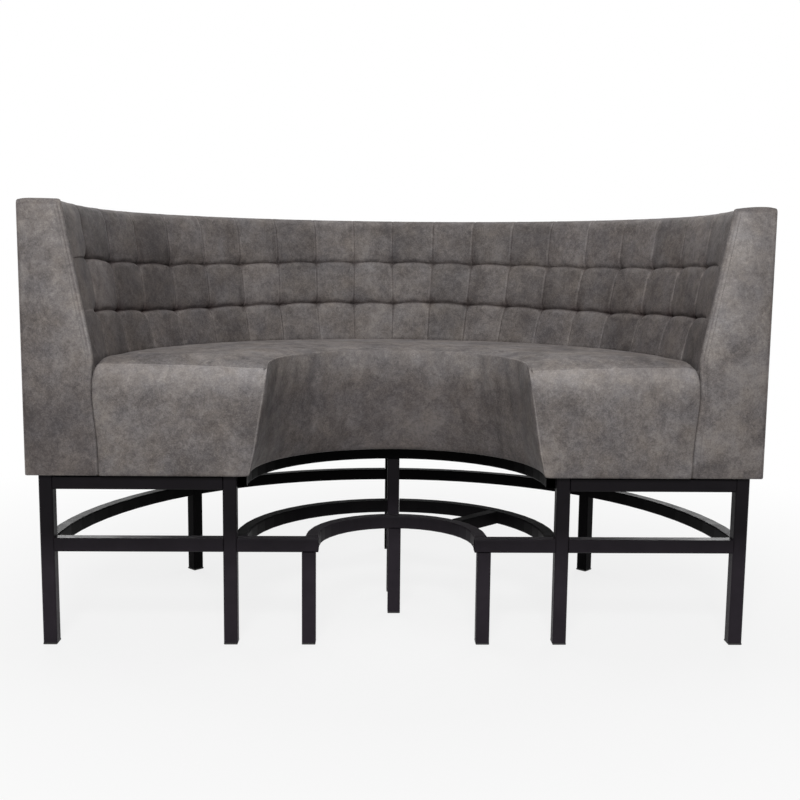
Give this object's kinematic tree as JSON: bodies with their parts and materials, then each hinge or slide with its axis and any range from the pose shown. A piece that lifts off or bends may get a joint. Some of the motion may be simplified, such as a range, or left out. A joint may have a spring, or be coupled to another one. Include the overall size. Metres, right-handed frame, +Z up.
{
  "type": "half-round bar-height banquette sofa",
  "caption": "Half-round bar-height banquette sofa: black square-tube base with concentric bows and a footrest, grey suede-look seat with a concave front and a tufted curved back.",
  "frame": {"origin": "on the floor, under the middle of the overall box", "axes": "+Z up, +X to the right along the width as seen from the open side, +Y towards the curved back"},
  "size_m": [2.02, 1.1, 1.219],
  "materials": {
    "frame_steel": "black powder coat, satin",
    "glide_plastic": "black moulded plastic",
    "plywood": "raw birch plywood",
    "suede_cover": "mottled grey suede-look upholstery over foam",
    "dust_cloth": "black cambric"
  },
  "bodies": {
    "root": {"back_cover": "suede_cover", "back_inner_panel": "plywood", "back_outer_panel": "plywood", "back_pad": "suede_cover", "back_top_rail": "plywood", "base_board": "plywood", "bearer_centre": "frame_steel", "bearer_left": "frame_steel", "bearer_right": "frame_steel", "bow_footrest": "frame_steel", "bow_inner_low_left": "frame_steel", "bow_inner_low_right": "frame_steel", "bow_inner_top": "frame_steel", "bow_outer_low_left_back": "frame_steel", "bow_outer_low_left_front": "frame_steel", "bow_outer_low_right_back": "frame_steel", "bow_outer_low_right_front": "frame_steel", "bow_outer_top": "frame_steel", "dust_cover": "dust_cloth", "end_panel_left": "suede_cover", "end_panel_right": "suede_cover", "footrest_strut": "frame_steel", "former_1": "plywood", "former_2": "plywood", "former_3": "plywood", "former_4": "plywood", "former_5": "plywood", "former_end_left": "plywood", "former_end_right": "plywood", "glide_back_centre": "glide_plastic", "glide_back_left": "glide_plastic", "glide_back_right": "glide_plastic", "glide_footrest_centre": "glide_plastic", "glide_footrest_left": "glide_plastic", "glide_footrest_right": "glide_plastic", "glide_front_inner_left": "glide_plastic", "glide_front_inner_right": "glide_plastic", "glide_front_outer_left": "glide_plastic", "glide_front_outer_right": "glide_plastic", "glide_inner_centre": "glide_plastic", "leg_back_centre": "frame_steel", "leg_back_left": "frame_steel", "leg_back_right": "frame_steel", "leg_footrest_centre": "frame_steel", "leg_footrest_left": "frame_steel", "leg_footrest_right": "frame_steel", "leg_front_inner_left": "frame_steel", "leg_front_inner_right": "frame_steel", "leg_front_outer_left": "frame_steel", "leg_front_outer_right": "frame_steel", "leg_inner_centre": "frame_steel", "rail_low_inner_left": "frame_steel", "rail_low_inner_right": "frame_steel", "rail_low_outer_left": "frame_steel", "rail_low_outer_right": "frame_steel", "rail_top_left": "frame_steel", "rail_top_right": "frame_steel", "seat_apron": "plywood", "seat_board": "plywood", "seat_cushion": "suede_cover"}
  },
  "joints": []
}
